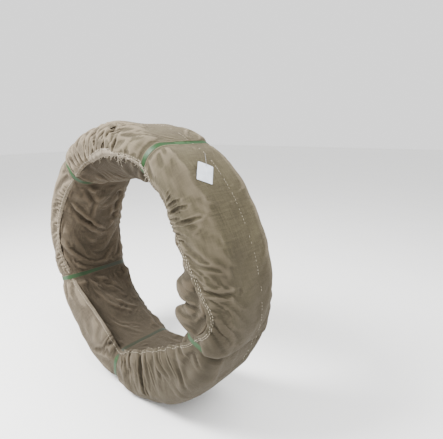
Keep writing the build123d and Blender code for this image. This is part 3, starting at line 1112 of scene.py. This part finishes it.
# %% [markdown]
# ## Straps
# Each strap is a flat plastic band, drawn tight through the bore and welded where its ends overlap. The
# band starts as one edge across its width. Extrude carries it along a straight run and spin carries it
# round a corner, which is just how the strap itself goes. Solidify gives it its thickness and Bevel takes
# off its edges.

# %% Straps
STRAP_WIDTH, STRAP_THICKNESS, STRAP_INSET = 0.019, 0.0009, 0.0077
SPIN_STEPS, RUN_STEPS, SAME_PLACE = 10, 6, 1e-5
SHARP_ANGLE = math.radians(40)


def edge_select(strap, places):
    """Selects only the points of the band that lie at the places given."""
    shell = bmesh.from_edit_mesh(strap.data)
    for v in shell.verts:
        v.select_set(any((v.co - p).length < SAME_PLACE for p in places))
    shell.select_flush(True)
    bmesh.update_edit_mesh(strap.data)


def apply_modifier(piece, kind, **settings):
    """Adds a modifier of one kind to the active piece and applies it."""
    modifier = piece.modifiers.new(kind.title(), kind)
    for name, value in settings.items():
        setattr(modifier, name, value)
    bpy.ops.object.modifier_apply(modifier=modifier.name)


def turned_to(angle):
    """Matrix that turns a piece from the right side of the coil to its angle on the ring."""
    return Matrix.Translation((0, 0, AXIS)) @ Matrix.Rotation(-math.radians(angle), 4, "Y")


def nearest_way(r, y):
    """Way round the whole section to the point of it that lies nearest."""
    tries = np.linspace(0, ROUND, 1200, endpoint=False)
    line_r, line_y, _ = section_at(tries)
    return float(tries[((line_r - r) ** 2 + (line_y - y) ** 2).argmin()])


def spun_band(name):
    """Closed band round the section in the plane of X and Y, one turn at each corner and a run between them."""
    low, high = BORE + STRAP_INSET, OUTER - STRAP_INSET
    reach = CORNER - STRAP_INSET
    sides = [Vector((0, 0, -STRAP_WIDTH / 2)), Vector((0, 0, STRAP_WIDTH / 2))]
    end, wall = high - low - 2 * reach, 2 * SHOULDER
    corners = [
        # centre of each corner, and the straight run after it
        ((low + reach, -SHOULDER, 0), (end, 0, 0)), ((high - reach, -SHOULDER, 0), (0, wall, 0)),
        ((high - reach, SHOULDER, 0), (-end, 0, 0)), ((low + reach, SHOULDER, 0), (0, -wall, 0)),
    ]
    deselect_all()
    bpy.ops.mesh.primitive_plane_add(size=1)
    band = bpy.context.object
    band.name = name
    bpy.ops.object.mode_set(mode="EDIT")
    shell = bmesh.from_edit_mesh(band.data)
    bmesh.ops.delete(shell, geom=list(shell.verts)[2:], context="VERTS")
    here = Vector((low, -SHOULDER, 0))
    for v, side in zip(shell.verts, sides):
        v.co = here + side
        v.select_set(True)
    shell.select_flush(True)
    bmesh.update_edit_mesh(band.data)
    for centre, run in ((Vector(centre), Vector(run)) for centre, run in corners):
        bpy.ops.mesh.spin(steps=SPIN_STEPS, angle=-math.pi / 2, center=centre, axis=(0, 0, 1))
        here = centre + Matrix.Rotation(math.pi / 2, 3, "Z") @ (here - centre)
        edge_select(band, [here + side for side in sides])
        for _ in range(RUN_STEPS):
            bpy.ops.mesh.extrude_region_move(TRANSFORM_OT_translate={"value": run / RUN_STEPS})
        here = here + run
        edge_select(band, [here + side for side in sides])
    bpy.ops.mesh.select_all(action="SELECT")
    bpy.ops.mesh.remove_doubles(threshold=SAME_PLACE)
    bpy.ops.mesh.normals_make_consistent(inside=False)
    bpy.ops.object.mode_set(mode="OBJECT")
    return band


def strap_band(name, angle):
    """The band at its angle, sunk where the coil has slumped, with its own UV map, thickness and edges."""
    strap = spun_band(name)
    uv = strap.data.uv_layers.new(name="band")
    for face in strap.data.polygons:
        places = [strap.data.vertices[v].co for v in face.vertices]
        ways = [nearest_way(place.x, place.y) for place in places]
        if max(ways) - min(ways) > ROUND / 2:
            ways = [way + ROUND if way < ROUND / 2 else way for way in ways]
        for loop, way, place in zip(face.loop_indices, ways, places):
            uv.data[loop].uv = (way, place.z + STRAP_WIDTH / 2)
    for v in strap.data.vertices:
        way = nearest_way(v.co.x, v.co.y)
        _, _, away = section_at(way)
        v.co = turned_to(angle) @ (v.co - Vector((*away, 0)) * float(slump(angle, way)))
    apply_modifier(strap, "SOLIDIFY", thickness=STRAP_THICKNESS, offset=1.0)
    apply_modifier(strap, "BEVEL", width=0.00025, segments=1, angle_limit=math.radians(50),
                   limit_method="ANGLE")
    bpy.ops.object.shade_smooth_by_angle(angle=SHARP_ANGLE)
    return strap


straps = [strap_band(f"{name}_band", angle) for name, angle in STRAPS.items()]
print("straps", [len(s.data.polygons) for s in straps])

# %% [markdown]
# ## Weld of each strap
# Where a strap's ends overlap, a short second layer lies on the first, pressed together in a hot strip.
# It sits on the rim, where the tool can reach.

# %% Welds
def strap_weld(name, angle, from_front, length=0.045):
    """Short second layer of strap on the rim, pressed flat and ribbed in its middle."""
    deselect_all()
    bpy.ops.mesh.primitive_cube_add(size=1)
    weld = bpy.context.object
    weld.name = name
    weld.data.transform(Matrix.Diagonal((length, STRAP_WIDTH - 0.0004, 0.0008, 1)))
    bpy.ops.object.mode_set(mode="EDIT")
    bpy.ops.mesh.select_all(action="SELECT")
    bpy.ops.mesh.bevel(offset=0.0003, segments=1)
    bpy.ops.mesh.select_all(action="SELECT")
    bpy.ops.mesh.subdivide(number_cuts=3)
    bpy.ops.object.mode_set(mode="OBJECT")
    for v in weld.data.vertices:
        press = math.exp(-(v.co.x / (0.3 * length)) ** 4)
        v.co.z += 0.0002 * math.sin(v.co.x * 2500) * press - 0.0001 * press
    lift = OUTER - STRAP_INSET + STRAP_THICKNESS + 0.0004
    along_rim = Matrix(((0, 0, 1, 0), (1, 0, 0, 0), (0, 1, 0, 0), (0, 0, 0, 1)))
    seat = Matrix.Translation((lift, from_front / 1000 - WIDTH / 2, 0)) @ along_rim
    weld.data.transform(turned_to(angle) @ seat)
    bpy.ops.object.shade_smooth_by_angle(angle=SHARP_ANGLE)
    return weld


welds = [strap_weld(f"{name}_weld", angle, 150 + 18 * i) for i, (name, angle) in enumerate(STRAPS.items())]
print("welds", len(welds))

# %% [markdown]
# ## Label and its tie
# The label is a bare card, tied to the rim with thin wire through an eyelet near its top. It starts as a
# plane, is cut finer and bows a little across. Its lower edge rests on the cloth, so the highest point of
# the cover there sets its height, and its top stands off, where the wire holds it.

# %% Label
LABEL_WIDTH, LABEL_HEIGHT = 0.062, 0.070
EDGE_ANGLE, EDGE_FROM_FRONT, LABEL_LEAN, LABEL_TILT = 41.8, 106.0, -30.0, 15.0
deselect_all()
bpy.ops.mesh.primitive_plane_add(size=1)
label = bpy.context.object
label.name = "label_card"
label.data.transform(Matrix.Diagonal((LABEL_HEIGHT, LABEL_WIDTH, 1, 1)))
bpy.ops.object.mode_set(mode="EDIT")
bpy.ops.mesh.select_all(action="SELECT")
bpy.ops.mesh.bevel(offset=0.003, segments=4, affect="VERTICES")
bpy.ops.mesh.select_all(action="SELECT")
bpy.ops.mesh.inset(thickness=0.002)
bpy.ops.mesh.poke()
bpy.ops.mesh.select_all(action="SELECT")
bpy.ops.mesh.subdivide(number_cuts=5)
bpy.ops.object.mode_set(mode="OBJECT")
EYELET = Vector((0.007 - LABEL_HEIGHT / 2, 0, 0))
spoke = math.radians(EDGE_ANGLE)
out, down = Vector((math.cos(spoke), 0, math.sin(spoke))), Vector((math.sin(spoke), 0, -math.cos(spoke)))
around = [on_cover(EDGE_ANGLE + turn, EDGE_FROM_FRONT + behind)[0]
          for turn in (-1.5, -0.8, 0, 0.8, 1.5) for behind in range(-28, 29, 7)]
label_lift = max((p - Vector((0, 0, AXIS))).dot(out) for p in around) - OUTER + 0.0006
place = out * (OUTER + label_lift) + Vector((0, EDGE_FROM_FRONT / 1000 - WIDTH / 2, AXIS))
seat = Matrix([(down[i], (0, 1, 0)[i], out[i], place[i]) for i in range(3)] + [(0, 0, 0, 1)])
seat = seat @ Matrix.Rotation(math.radians(LABEL_LEAN), 4, "Z")
seat = seat @ Matrix.Rotation(math.radians(LABEL_TILT), 4, "Y")
seat = seat @ Matrix.Translation((-LABEL_HEIGHT / 2, 0, 0))
for v in label.data.vertices:
    x, y = v.co.x / LABEL_HEIGHT, v.co.y / LABEL_WIDTH
    v.co.z = 0.0012 * (1 - 4 * y * y) + 0.0018 * max(0, y * x) + 0.0004 * math.sin(9 * x + 4 * y)
apply_modifier(label, "SOLIDIFY", thickness=0.0005, offset=1.0)
label.data.transform(seat)
bpy.ops.object.shade_smooth_by_angle(angle=SHARP_ANGLE)
print("label's edge lies", round(label_lift * 1000, 2), "mm above the rim")

# %% [markdown]
# ## Eyelet and tie
# The eyelet is a thin torus on the card. The tie is two strands of bare wire, twisted round one route: up
# through the eyelet, over, and down to a stitch in the rim.

# %% Eyelet and tie
deselect_all()
bpy.ops.mesh.primitive_torus_add(major_radius=0.0034, minor_radius=0.0007, major_segments=20, minor_segments=8)
eyelet = bpy.context.object
eyelet.name = "label_eyelet"
eyelet.data.transform(seat @ Matrix.Translation(EYELET + Vector((0, 0, 0.0006))))
bpy.ops.object.shade_smooth()
foot = seat @ (EYELET + Vector((0, 0, -0.0002)))
knee = seat @ (EYELET + Vector((0, 0, 0.0055)))
stitch_in = on_cover(54, 205, -0.001)[0]
over = on_cover(53.6, 202, 0.0038)[0]
bend = knee.lerp(over, 0.5) + out * 0.001
corners = [foot, knee, bend, over, stitch_in]
route = [p.lerp(q, t / 6) for p, q in zip(corners, corners[1:]) for t in range(6)] + [stitch_in]
tie = new_curves("label_tie_wire")
for twist in (0, math.pi):
    turns = [0.9 * k + twist for k in range(len(route))]
    strand = [p + Vector((math.cos(turn), math.sin(turn), 0)) * 0.0006 for p, turn in zip(route, turns)]
    add_strand(tie, strand, [1.0] * len(strand), resolution=2)
tie = strands_to_mesh(tie, half_thickness=0.0005, roundness=1)
print("tie", len(tie.data.polygons), "faces")

# %% [markdown]
# ## Shader maths in Python
# A procedural finish is mostly arithmetic on patterns. The two small classes below let it be written as
# such: an expression on values adds Math nodes, and one method adds any other node.

# %% Shader maths
class Value:
    """A socket of a material. Arithmetic on it adds Math nodes."""

    def __init__(self, finish, socket):
        self.finish, self.socket = finish, socket

    def _math(self, operation, a, b=0.0):
        return self.finish.node("ShaderNodeMath", {"operation": operation}, {0: a, 1: b})

    def __add__(self, other):
        return self._math("ADD", self, other)

    def __sub__(self, other):
        return self._math("SUBTRACT", self, other)

    def __rsub__(self, other):
        return self._math("SUBTRACT", other, self)

    def __mul__(self, other):
        return self._math("MULTIPLY", self, other)

    def __truediv__(self, other):
        return self._math("DIVIDE", self, other)

    def __pow__(self, other):
        return self._math("POWER", self, other)

    __radd__, __rmul__ = __add__, __mul__

    def wave(self):
        return self._math("SINE", self)

    def size(self):
        return self._math("ABSOLUTE", self)

    def highest(self, other):
        return self._math("MAXIMUM", self, other)

    def between(self, low, high):
        """0 below low, 1 above high and eased between them."""
        return self.finish.node("ShaderNodeMapRange", {"interpolation_type": "SMOOTHSTEP"},
                                {"Value": self, "From Min": low, "From Max": high})


class Finish:
    """A new material with a Principled shader."""

    def __init__(self, name, **constants):
        self.material = bpy.data.materials.new(name)
        self.material.use_nodes = True
        self.tree = self.material.node_tree
        self.shader = self.tree.nodes["Principled BSDF"]
        for socket, value in constants.items():
            self.shader.inputs[socket.replace("_", " ")].default_value = value

    def node(self, kind, settings=None, inputs=None, output=0):
        made = self.tree.nodes.new(kind)
        for name, value in (settings or {}).items():
            setattr(made, name, value)
        for name, value in (inputs or {}).items():
            if isinstance(value, Value):
                self.tree.links.new(value.socket, made.inputs[name])
            else:
                made.inputs[name].default_value = value
        return Value(self, made.outputs[output])

    def noise(self, where, scale, detail=3.0, rough=0.55):
        inputs = {"Vector": where, "Scale": scale, "Detail": detail, "Roughness": rough}
        return self.node("ShaderNodeTexNoise", {}, inputs)

    def stretched(self, where, scale):
        return self.node("ShaderNodeMapping", {}, {"Vector": where, "Scale": scale})

    def place(self):
        """The piece's own coordinates."""
        return self.node("ShaderNodeTexCoord", {}, {}, 3)

    def parts(self, vector):
        """The three numbers of a vector."""
        outputs = self.node("ShaderNodeSeparateXYZ", {}, {"Vector": vector}).socket.node.outputs
        return [Value(self, socket) for socket in outputs]

    def mix(self, factor, a, b, blend="MIX"):
        settings = {"data_type": "RGBA", "blend_type": blend}
        return self.node("ShaderNodeMix", settings, {0: factor, 6: a, 7: b}, 2)

    def feed(self, socket, value):
        self.tree.links.new(value.socket, self.shader.inputs[socket])

    def bump(self, height, distance, strength=1.0):
        bumped = self.node("ShaderNodeBump", {}, {"Height": height, "Distance": distance, "Strength": strength})
        self.feed("Normal", bumped)


def from_axis(x, z):
    """Way of a place from the coil's axis."""
    return ((x ** 2.0) + ((z - AXIS) ** 2.0)) ** 0.5


print("shader maths ready")

# %% [markdown]
# ## Hessian
# Hessian is a coarse plain weave of jute, with about ten threads to the inch. The weave comes from two
# trains of waves on the flat cloth map, one for each direction, that pass over and under each other. Jute
# yarn is uneven, so streaks along both directions darken or lighten single threads, and slow patches stand
# for dust and damp. The folds that mark_hollows found get painted shade in their valleys and painted
# highlights on their crests. The right side has weathered greener than the left and is darkened by painted
# shade. Towards the floor the cloth is darker, partly soiled and partly painted shade, the lower right and
# the lining's top get painted shade, a patch at the right of the front end is darker, and the hems are rubbed pale.

# %% Hessian finish
THREAD_PITCH = 0.0024


def hessian(name, dark, light, right_tint_and_shade=(1, 1, 1, 1), soil_and_shade=0.78, lean=0.55, ceiling_shade=0.0, crest=1.9):
    """Hessian between two tones, tinted on the right. The other numbers set how strong the darkening towards the
    floor is (soiling and painted shade) and how it leans, how strong the painted shade at the top is, and how
    bright the painted highlights on the folds' crests are.
    """
    # colour of the painted highlights on the folds' crests
    pale = (*(share * crest for share in light[:3]), 1)
    finish = Finish(name, Roughness=0.95, Specular_IOR_Level=0.12, Sheen_Weight=0.12, Sheen_Roughness=0.6,
                    Sheen_Tint=(0.85, 0.72, 0.55, 1))
    cloth, body = finish.node("ShaderNodeUVMap", {"uv_map": "flat cloth"}), finish.place()
    u, v, _ = finish.parts(cloth)
    x, y, z = finish.parts(body)
    wobble = finish.noise(cloth, 90.0, 2.0) * 0.0016
    a, b = (u + wobble) * (math.pi / THREAD_PITCH), (v + wobble) * (math.pi / THREAD_PITCH)
    wave_a, wave_b = a.wave(), b.wave()
    over = (wave_a * wave_b).between(-0.25, 0.25)
    warp, weft = wave_a.size() * (0.55 + over * 0.45), wave_b.size() * (1.0 - over * 0.45)
    weave = warp.highest(weft)
    along_u, along_v, streaks, bars = (
        finish.noise(finish.stretched(cloth, scale), 1.0, 3.0, 0.6)
        for scale in ((14.0, 420.0, 1.0), (420.0, 14.0, 1.0), (9.0, 130.0, 1.0), (130.0, 9.0, 1.0)))
    patches = finish.noise(body, 9.0, 4.0, 0.6)
    grime = finish.noise(body, 3.1, 3.0, 0.5)
    speck = finish.noise(cloth, 260.0, 3.0, 0.7)
    tone = (along_u + along_v) * 0.22 + (streaks + bars) * 0.26 + patches * 0.3 + speck * 0.32 - 0.30
    colour = finish.mix(tone.between(0.30, 0.76), dark, light)
    # the right side weathered greener, and darkened there by painted shade
    turned = (x + patches * 0.12).between(-0.14, 0.44)
    colour = finish.mix(turned, colour, finish.mix(1.0, colour, right_tint_and_shade, "MULTIPLY"))
    hollow = finish.node("ShaderNodeAttribute", {"attribute_name": "hollow"}, {}, 2)
    # painted shade in the valleys of the folds
    colour = finish.mix(hollow.between(0.15, 1.0) * 0.48, colour, (0.014, 0.010, 0.006, 1))
    # painted highlights on the crests of the folds
    colour = finish.mix((0.0 - hollow).between(0.15, 1.0) * 0.40, colour, pale)
    colour = finish.mix((1.0 - grime.between(0.30, 0.62)) * 0.30, colour, (0.026, 0.020, 0.013, 1))
    # darker towards the floor, leaning with x: soiling, and painted shade as well
    soil_and_shade_mask = 1.0 - (z - x * lean + patches * 0.3).between(0.02, 0.90)
    colour = finish.mix(soil_and_shade_mask * soil_and_shade, colour, (0.022, 0.018, 0.012, 1))
    # painted shade at the lower right of the coil
    low_right_shade = (x - z * 0.9 + patches * 0.2).between(0.0, 0.45)
    colour = finish.mix(low_right_shade * 0.78, colour, (0.024, 0.020, 0.013, 1))
    # a darker patch at the right of the front end
    darker_front_patch = x.between(0.05, 0.35) * (0.0 - y).between(0.09, 0.16)
    colour = finish.mix(darker_front_patch * 0.28, colour, (0.030, 0.025, 0.017, 1))
    # painted shade at the top of the bore
    colour = finish.mix((z + patches * 0.1).between(0.94, 1.10) * ceiling_shade, colour, (0.012, 0.009, 0.006, 1))
    colour = finish.mix((1.0 - weave.between(0.15, 0.75)) * 0.42, colour, (0.018, 0.014, 0.009, 1))
    finish.feed("Base Color", colour)
    finish.feed("Roughness", 0.86 + speck * 0.12)
    finish.bump(weave * 0.6 + (along_u + along_v) * 0.5 + (streaks + bars) * 0.8 + speck * 0.3, 0.0010, 0.8)
    return finish.material


# the cover's right side: greener, and darker as painted shade
HESSIAN_COVER = hessian("hessian cover", (0.040, 0.031, 0.021, 1), (0.145, 0.118, 0.084, 1),
                        (0.70, 0.755, 0.60, 1))
HESSIAN_HEM = hessian("hessian hem", (0.080, 0.064, 0.045, 1), (0.235, 0.195, 0.145, 1),
                      (0.72, 0.75, 0.68, 1), crest=1.2)
# the lining is darker than the cover as painted shade of the bore, and its strong right tint is painted shade too
HESSIAN_LINING_SHADED = hessian("hessian lining", (0.030, 0.023, 0.015, 1), (0.096, 0.073, 0.049, 1),
                         (0.38, 0.41, 0.33, 1), soil_and_shade=1.0, lean=0.0, ceiling_shade=0.7, crest=1.5)
HESSIAN_RAW = hessian("raw hessian edge", (0.115, 0.095, 0.070, 1), (0.31, 0.265, 0.205, 1), crest=1.1)
print("hessian", len(HESSIAN_COVER.node_tree.nodes), "nodes")

# %% [markdown]
# ## Thread, strap, card and wire
# Cotton thread is a pale twist. The strap is green plastic, embossed with fine diamonds so that it grips,
# drawn with lines along its length and rubbed pale along its edges. The card is coated paper with a little
# dirt. The drawn wire has a thin grey coat, and its turns show as fine rings round the axis.

# %% Other finishes
def thread_finish(name, dark, light):
    """Twisted yarn between two tones, with a little fluff."""
    finish = Finish(name, Roughness=0.85, Specular_IOR_Level=0.2, Sheen_Weight=0.3)
    body = finish.place()
    twist, fluff = finish.noise(body, 900.0, 1.0), finish.noise(body, 40.0, 3.0)
    finish.feed("Base Color", finish.mix((twist * 0.6 + fluff * 0.5).between(0.3, 0.75), dark, light))
    finish.feed("Roughness", 0.75 + fluff * 0.2)
    finish.bump(twist, 0.0003, 0.5)
    return finish.material


def strap_finish():
    """Green plastic, rubbed pale along its edges, with painted shade where it runs through the bore."""
    finish = Finish("strap green", Roughness=0.4, Specular_IOR_Level=0.3)
    band, body = finish.node("ShaderNodeUVMap", {"uv_map": "band"}), finish.place()
    u, v, _ = finish.parts(band)
    x, y, z = finish.parts(body)
    diamonds = ((u + v) * 2600.0).wave() * ((u - v) * 2600.0).wave()
    lines = finish.noise(finish.stretched(band, (10.0, 1500.0, 1.0)), 1.0, 3.0)
    scuffs = finish.noise(body, 120.0, 5.0, 0.7)
    rubs = finish.noise(body, 22.0, 3.0, 0.6)
    edge = ((v - STRAP_WIDTH / 2).size() / (STRAP_WIDTH / 2)).between(0.82, 1.0)
    worn = (edge * 0.7 + (scuffs * rubs).between(0.30, 0.42)) * 0.5
    colour = finish.mix(lines.between(0.3, 0.7), (0.004, 0.027, 0.004, 1), (0.008, 0.045, 0.006, 1))
    in_bore = 1.0 - from_axis(x, z).between(0.428, 0.470)
    # painted shade on the strap inside the bore, deepest towards the back and the bottom
    bore_shade = in_bore * ((y + 0.05).between(0.0, 0.10).highest((0.26 - z).between(0.0, 0.06)) * 0.5 + 0.45)
    colour = finish.mix(worn, colour, (0.045, 0.105, 0.036, 1))
    finish.feed("Base Color", finish.mix(bore_shade, colour, (0.016, 0.017, 0.009, 1)))
    finish.feed("Roughness", 0.38 + scuffs * 0.25 + worn * 0.2)
    finish.bump(diamonds * 0.4 + lines * 0.5, 0.00025, 0.6)
    return finish.material


def card_finish():
    """Coated card with a little dirt."""
    finish = Finish("label card", Roughness=0.5, Specular_IOR_Level=0.4)
    body = finish.place()
    dirt, grain = finish.noise(body, 60.0, 4.0, 0.6), finish.noise(body, 1400.0, 2.0)
    tone = finish.mix(dirt.between(0.35, 0.75), (0.62, 0.66, 0.72, 1), (0.50, 0.54, 0.60, 1))
    finish.feed("Base Color", tone)
    finish.feed("Roughness", 0.42 + dirt * 0.2)
    finish.bump(grain * 0.5 + dirt * 0.5, 0.0002, 0.4)
    return finish.material


def metal_finish(name, dark, light, rings):
    """Drawn wire with a thin coat, whose turns show as rings round the coil's axis."""
    finish = Finish(name, Metallic=1.0, Roughness=0.4)
    body = finish.place()
    x, y, z = finish.parts(body)
    turns = ((from_axis(x, z) * rings).wave() * ((y * rings).wave())).size()
    haze, scratch = finish.noise(body, 14.0, 4.0, 0.6), finish.noise(body, 260.0, 3.0)
    finish.feed("Base Color", finish.mix((turns * 0.5 + haze * 0.6).between(0.2, 0.9), dark, light))
    finish.feed("Roughness", 0.30 + haze * 0.25 + scratch * 0.1)
    finish.bump(turns + scratch * 0.1, 0.002, 0.5)
    return finish.material


THREAD = thread_finish("cotton thread", (0.26, 0.22, 0.155, 1), (0.50, 0.44, 0.34, 1))
JUTE = thread_finish("loose jute", (0.20, 0.165, 0.115, 1), (0.44, 0.38, 0.29, 1))
STRAP_GREEN = strap_finish()
CARD = card_finish()
DRAWN_STEEL = metal_finish("drawn steel", (0.20, 0.20, 0.205, 1), (0.45, 0.45, 0.46, 1), 520.0)
TIE_STEEL = metal_finish("tie steel", (0.16, 0.15, 0.14, 1), (0.42, 0.40, 0.38, 1), 900.0)
print("finishes", [m.name for m in (THREAD, JUTE, STRAP_GREEN, CARD, DRAWN_STEEL, TIE_STEEL)])

# %% [markdown]
# ## Putting it together
# Each piece takes its finish and rides on the coil's one body, and the CAD solids that pieces stand for are hidden.
# The steel stays as the CAD model has it, with its new finish, because the wrap hides it.

# %% Assign and ride
def dress(piece, material):
    """Gives a piece its finish and lets it ride on the coil's body."""
    piece.data.materials.clear()
    piece.data.materials.append(material)
    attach(piece, "root")


dress(cover, HESSIAN_COVER)
for piece in (front_band, back_band):
    dress(piece, HESSIAN_HEM)
dress(lining, HESSIAN_LINING_SHADED)
for piece in thread_lines:
    dress(piece, THREAD)
dress(loose_threads, JUTE)
dress(ruffle, HESSIAN_RAW)
for piece in [*straps, *welds]:
    dress(piece, STRAP_GREEN)
dress(label, CARD)
dress(eyelet, TIE_STEEL)
dress(tie, TIE_STEEL)
steel = bpy.data.objects["wire_coil"]
for place in steel.material_slots:
    place.material = DRAWN_STEEL
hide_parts("outer_cover")
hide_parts("bore_lining")
for piece, name in zip(straps, STRAPS):
    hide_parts(name)
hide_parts("label")
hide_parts("label_tie")

# %% [markdown]
# ## Floor and light
# A pale floor and two large soft lights. The main one hangs in front of the coil, above it and to the left,
# so the pleats there get light across them. The weaker one hangs above the right rim and keeps its shade
# open, and the rim still stays a little darker than the front end.

# %% Floor and light
deselect_all()
bpy.ops.mesh.primitive_plane_add(size=40)
floor = bpy.context.object
floor.name = "floor"
floor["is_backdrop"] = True
ground = Finish("pale floor", Roughness=0.7, Specular_IOR_Level=0.2)
dust = ground.noise(ground.place(), 2.0, 3.0)
ground.feed("Base Color", ground.mix(dust, (0.86, 0.86, 0.85, 1), (0.90, 0.90, 0.89, 1)))
floor.data.materials.append(ground.material)


def soft_light(name, at, toward, size, power):
    """Square area light at a place, aimed at another, with its size in metres and its power in watts."""
    deselect_all()
    bpy.ops.object.light_add(type="AREA", location=at)
    light = bpy.context.object
    light.name = name
    light.rotation_euler = (Vector(toward) - Vector(at)).to_track_quat("-Z", "Y").to_euler()
    light.data.size, light.data.energy = size, power


soft_light("key", (-1.2, -1.8, 3.2), (0, 0, 0.6), 1.3, 440)
soft_light("fill", (2.1, 0.1, 3.2), (0.3, 0, 0.8), 2.5, 150)
world = bpy.data.worlds.new("studio")
bpy.context.scene.world = world
world.use_nodes = True
background = world.node_tree.nodes["Background"].inputs
background["Color"].default_value, background["Strength"].default_value = (1, 1, 1, 1), 1.5
print("lights ready")

# %% Measure and finish
low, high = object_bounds()
print("visual box", [round(x, 4) for x in low], [round(x, 4) for x in high])
